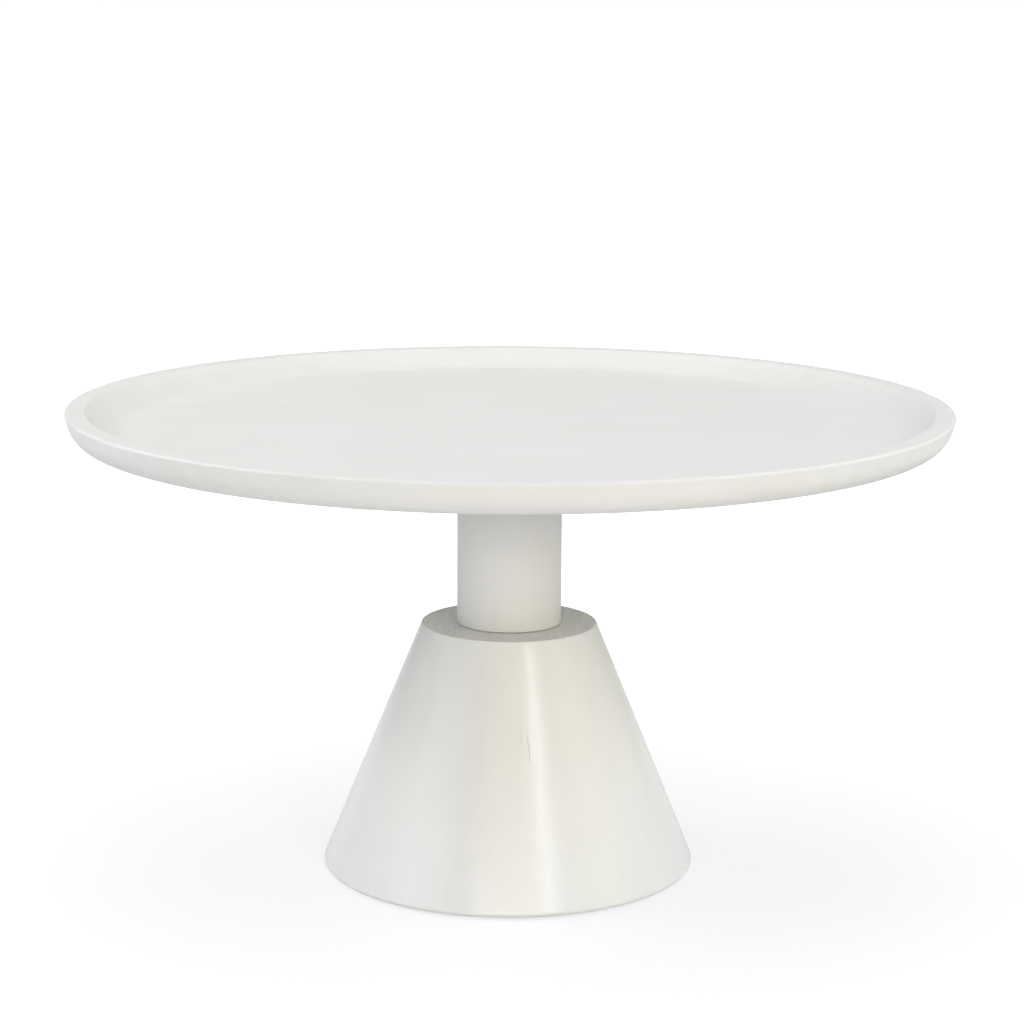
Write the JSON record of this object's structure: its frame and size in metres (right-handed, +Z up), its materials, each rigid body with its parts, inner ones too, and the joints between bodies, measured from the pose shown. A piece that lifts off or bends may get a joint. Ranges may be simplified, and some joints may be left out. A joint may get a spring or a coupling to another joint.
{
  "type": "cake stand",
  "caption": "Round rimmed wooden serving plate on a short round stem and a truncated cone foot, painted off-white, drawn together by a bolt from below.",
  "frame": {"origin": "where the stand's axis meets the surface it stands on", "axes": "+Z up, along the axis of the stem; the stand looks the same all round, so +X and +Y are free"},
  "size_m": [0.3, 0.3, 0.1617],
  "materials": {
    "painted_wood": "satin off-white paint over turned hardwood, grain showing faintly",
    "zinc_plated_steel": "bright zinc plating",
    "felt": "pressed wool felt"
  },
  "bodies": {
    "root": {"serving_plate": "painted_wood", "stem": "painted_wood", "base_cone": "painted_wood", "mounting_flange": "zinc_plated_steel", "draw_bolt": "zinc_plated_steel", "plain_washer": "zinc_plated_steel", "spring_washer": "zinc_plated_steel", "flange_screw_1": "zinc_plated_steel", "flange_screw_2": "zinc_plated_steel", "flange_screw_3": "zinc_plated_steel", "flange_screw_4": "zinc_plated_steel", "felt_pad_1": "felt", "felt_pad_2": "felt", "felt_pad_3": "felt", "felt_pad_4": "felt"}
  },
  "joints": []
}
